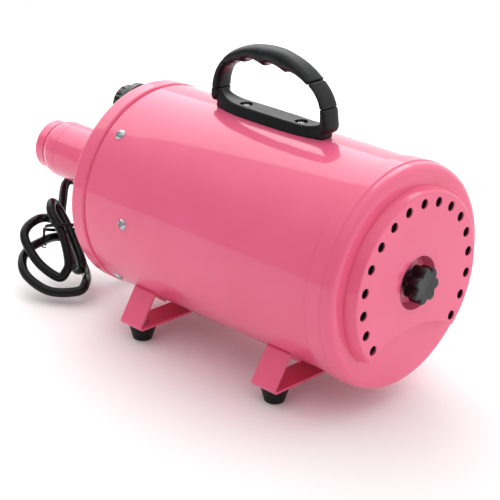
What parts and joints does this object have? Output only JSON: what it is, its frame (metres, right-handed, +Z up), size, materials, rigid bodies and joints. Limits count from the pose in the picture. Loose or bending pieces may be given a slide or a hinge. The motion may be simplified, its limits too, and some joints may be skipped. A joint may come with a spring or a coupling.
{
  "type": "pet dryer",
  "caption": "Cylinder blower with a hose outlet at one end, a perforated intake cover at the other, a carry handle and strap feet.",
  "frame": {"origin": "on the floor, below the middle of the machine measured from the outlet end to the cover knob, in the drum's vertical mid-plane", "axes": "+X along the drum from the hose outlet towards the air intake, +Z up, +Y completes a right-handed frame"},
  "size_m": [0.4372, 0.1852, 0.261],
  "materials": {
    "pink_paint": "glossy powder coat",
    "chrome": "bright plated",
    "zinc_steel": "zinc plated",
    "filter_foam": "open-cell foam",
    "black_plastic": "moulded, lightly textured",
    "red_plastic": "moulded, smooth",
    "black_rubber": "moulded, satin",
    "cord_sheath": "extruded, satin",
    "brass": "turned",
    "motor_steel": "pressed sheet",
    "bearing_steel": "ground",
    "lamination": "stacked laminations",
    "copper": "enamelled winding",
    "fan_alloy": "pressed sheet",
    "mica": "mica board",
    "heater_wire": "oxidised resistance wire",
    "circuit_board": "coated board"
  },
  "bodies": {
    "housing": {"body_tube": "pink_paint", "front_cap": "pink_paint", "front_cap_screws": "chrome", "side_screws": "chrome", "rear_cap": "pink_paint", "filter_foam": "filter_foam", "cover_stud": "zinc_steel", "outlet_pipe": "pink_paint", "hose_collar": "pink_paint", "outlet_screws": "chrome", "speed_pot": "motor_steel", "pot_nut": "zinc_steel", "power_switch": "black_plastic", "heat_switch": "black_plastic", "strain_relief": "black_rubber", "power_cord": "cord_sheath", "cord_tie": "black_rubber", "mains_plug": "black_plastic", "plug_pins": "brass", "handle_base": "black_plastic", "handle_arch": "black_plastic", "grip_sleeve": "black_rubber", "handle_screws": "chrome", "handle_nuts": "zinc_steel", "foot_bracket_front": "pink_paint", "foot_bracket_rear": "pink_paint", "bracket_screws": "zinc_steel", "foot_front_left": "black_rubber", "foot_front_right": "black_rubber", "foot_rear_left": "black_rubber", "foot_rear_right": "black_rubber", "foot_bolts": "chrome", "foot_nuts": "zinc_steel", "front_bulkhead": "zinc_steel", "rear_support": "zinc_steel", "fan_gasket": "black_rubber", "motor_can": "motor_steel", "stator": "lamination", "field_coils": "copper", "brush_holders": "brass", "bearing_front": "bearing_steel", "bearing_rear": "bearing_steel", "diffuser": "motor_steel", "fan_shell": "motor_steel", "outlet_funnel": "zinc_steel", "heater_frame": "mica", "heater_coil": "heater_wire", "control_board": "circuit_board"},
    "speed_dial": {"speed_knob": "black_plastic", "pot_shaft": "zinc_steel"},
    "power_rocker": {"power_rocker": "black_plastic"},
    "heat_rocker": {"heat_rocker": "red_plastic"},
    "cover": {"intake_cover": "pink_paint"},
    "knob_washer": {"knob_washer": "zinc_steel"},
    "cover_knob": {"cover_knob": "black_plastic"},
    "rotor": {"motor_shaft": "bearing_steel", "armature": "lamination", "commutator": "copper", "fan_rear": "fan_alloy", "fan_front": "fan_alloy"}
  },
  "joints": [
    {"name": "speed_dial_turn", "type": "hinge", "parent": "housing", "child": "speed_dial", "pos_m": [-0.09965, -0.0085, 0.1785], "axis": [-1, 0, 0], "range_deg": [0, 300]},
    {"name": "power_rocker_tilt", "type": "hinge", "parent": "housing", "child": "power_rocker", "pos_m": [-0.08915, -0.06, 0.118], "axis": [0, 1, 0], "range_deg": [0, 16]},
    {"name": "heat_rocker_tilt", "type": "hinge", "parent": "housing", "child": "heat_rocker", "pos_m": [-0.08915, 0.06, 0.118], "axis": [0, 1, 0], "range_deg": [0, 16]},
    {"name": "cover_slide", "type": "slide", "parent": "housing", "child": "cover", "axis": [1, 0, 0], "range_m": [0, 0.03]},
    {"name": "knob_travel", "type": "slide", "parent": "cover", "child": "knob_washer", "axis": [1, 0, 0], "range_m": [0, 0.004]},
    {"name": "knob_turn", "type": "hinge", "parent": "knob_washer", "child": "cover_knob", "pos_m": [0.20915, 0, 0.11], "axis": [1, 0, 0], "range_deg": [0, 1440]},
    {"name": "rotor_spin", "type": "hinge", "parent": "housing", "child": "rotor", "pos_m": [0.05035, 0, 0.11], "axis": [-1, 0, 0], "continuous": true}
  ],
  "couplings": [
    {"joint": "knob_turn", "follows": "knob_travel", "rad_per_m": 6283.2}
  ]
}
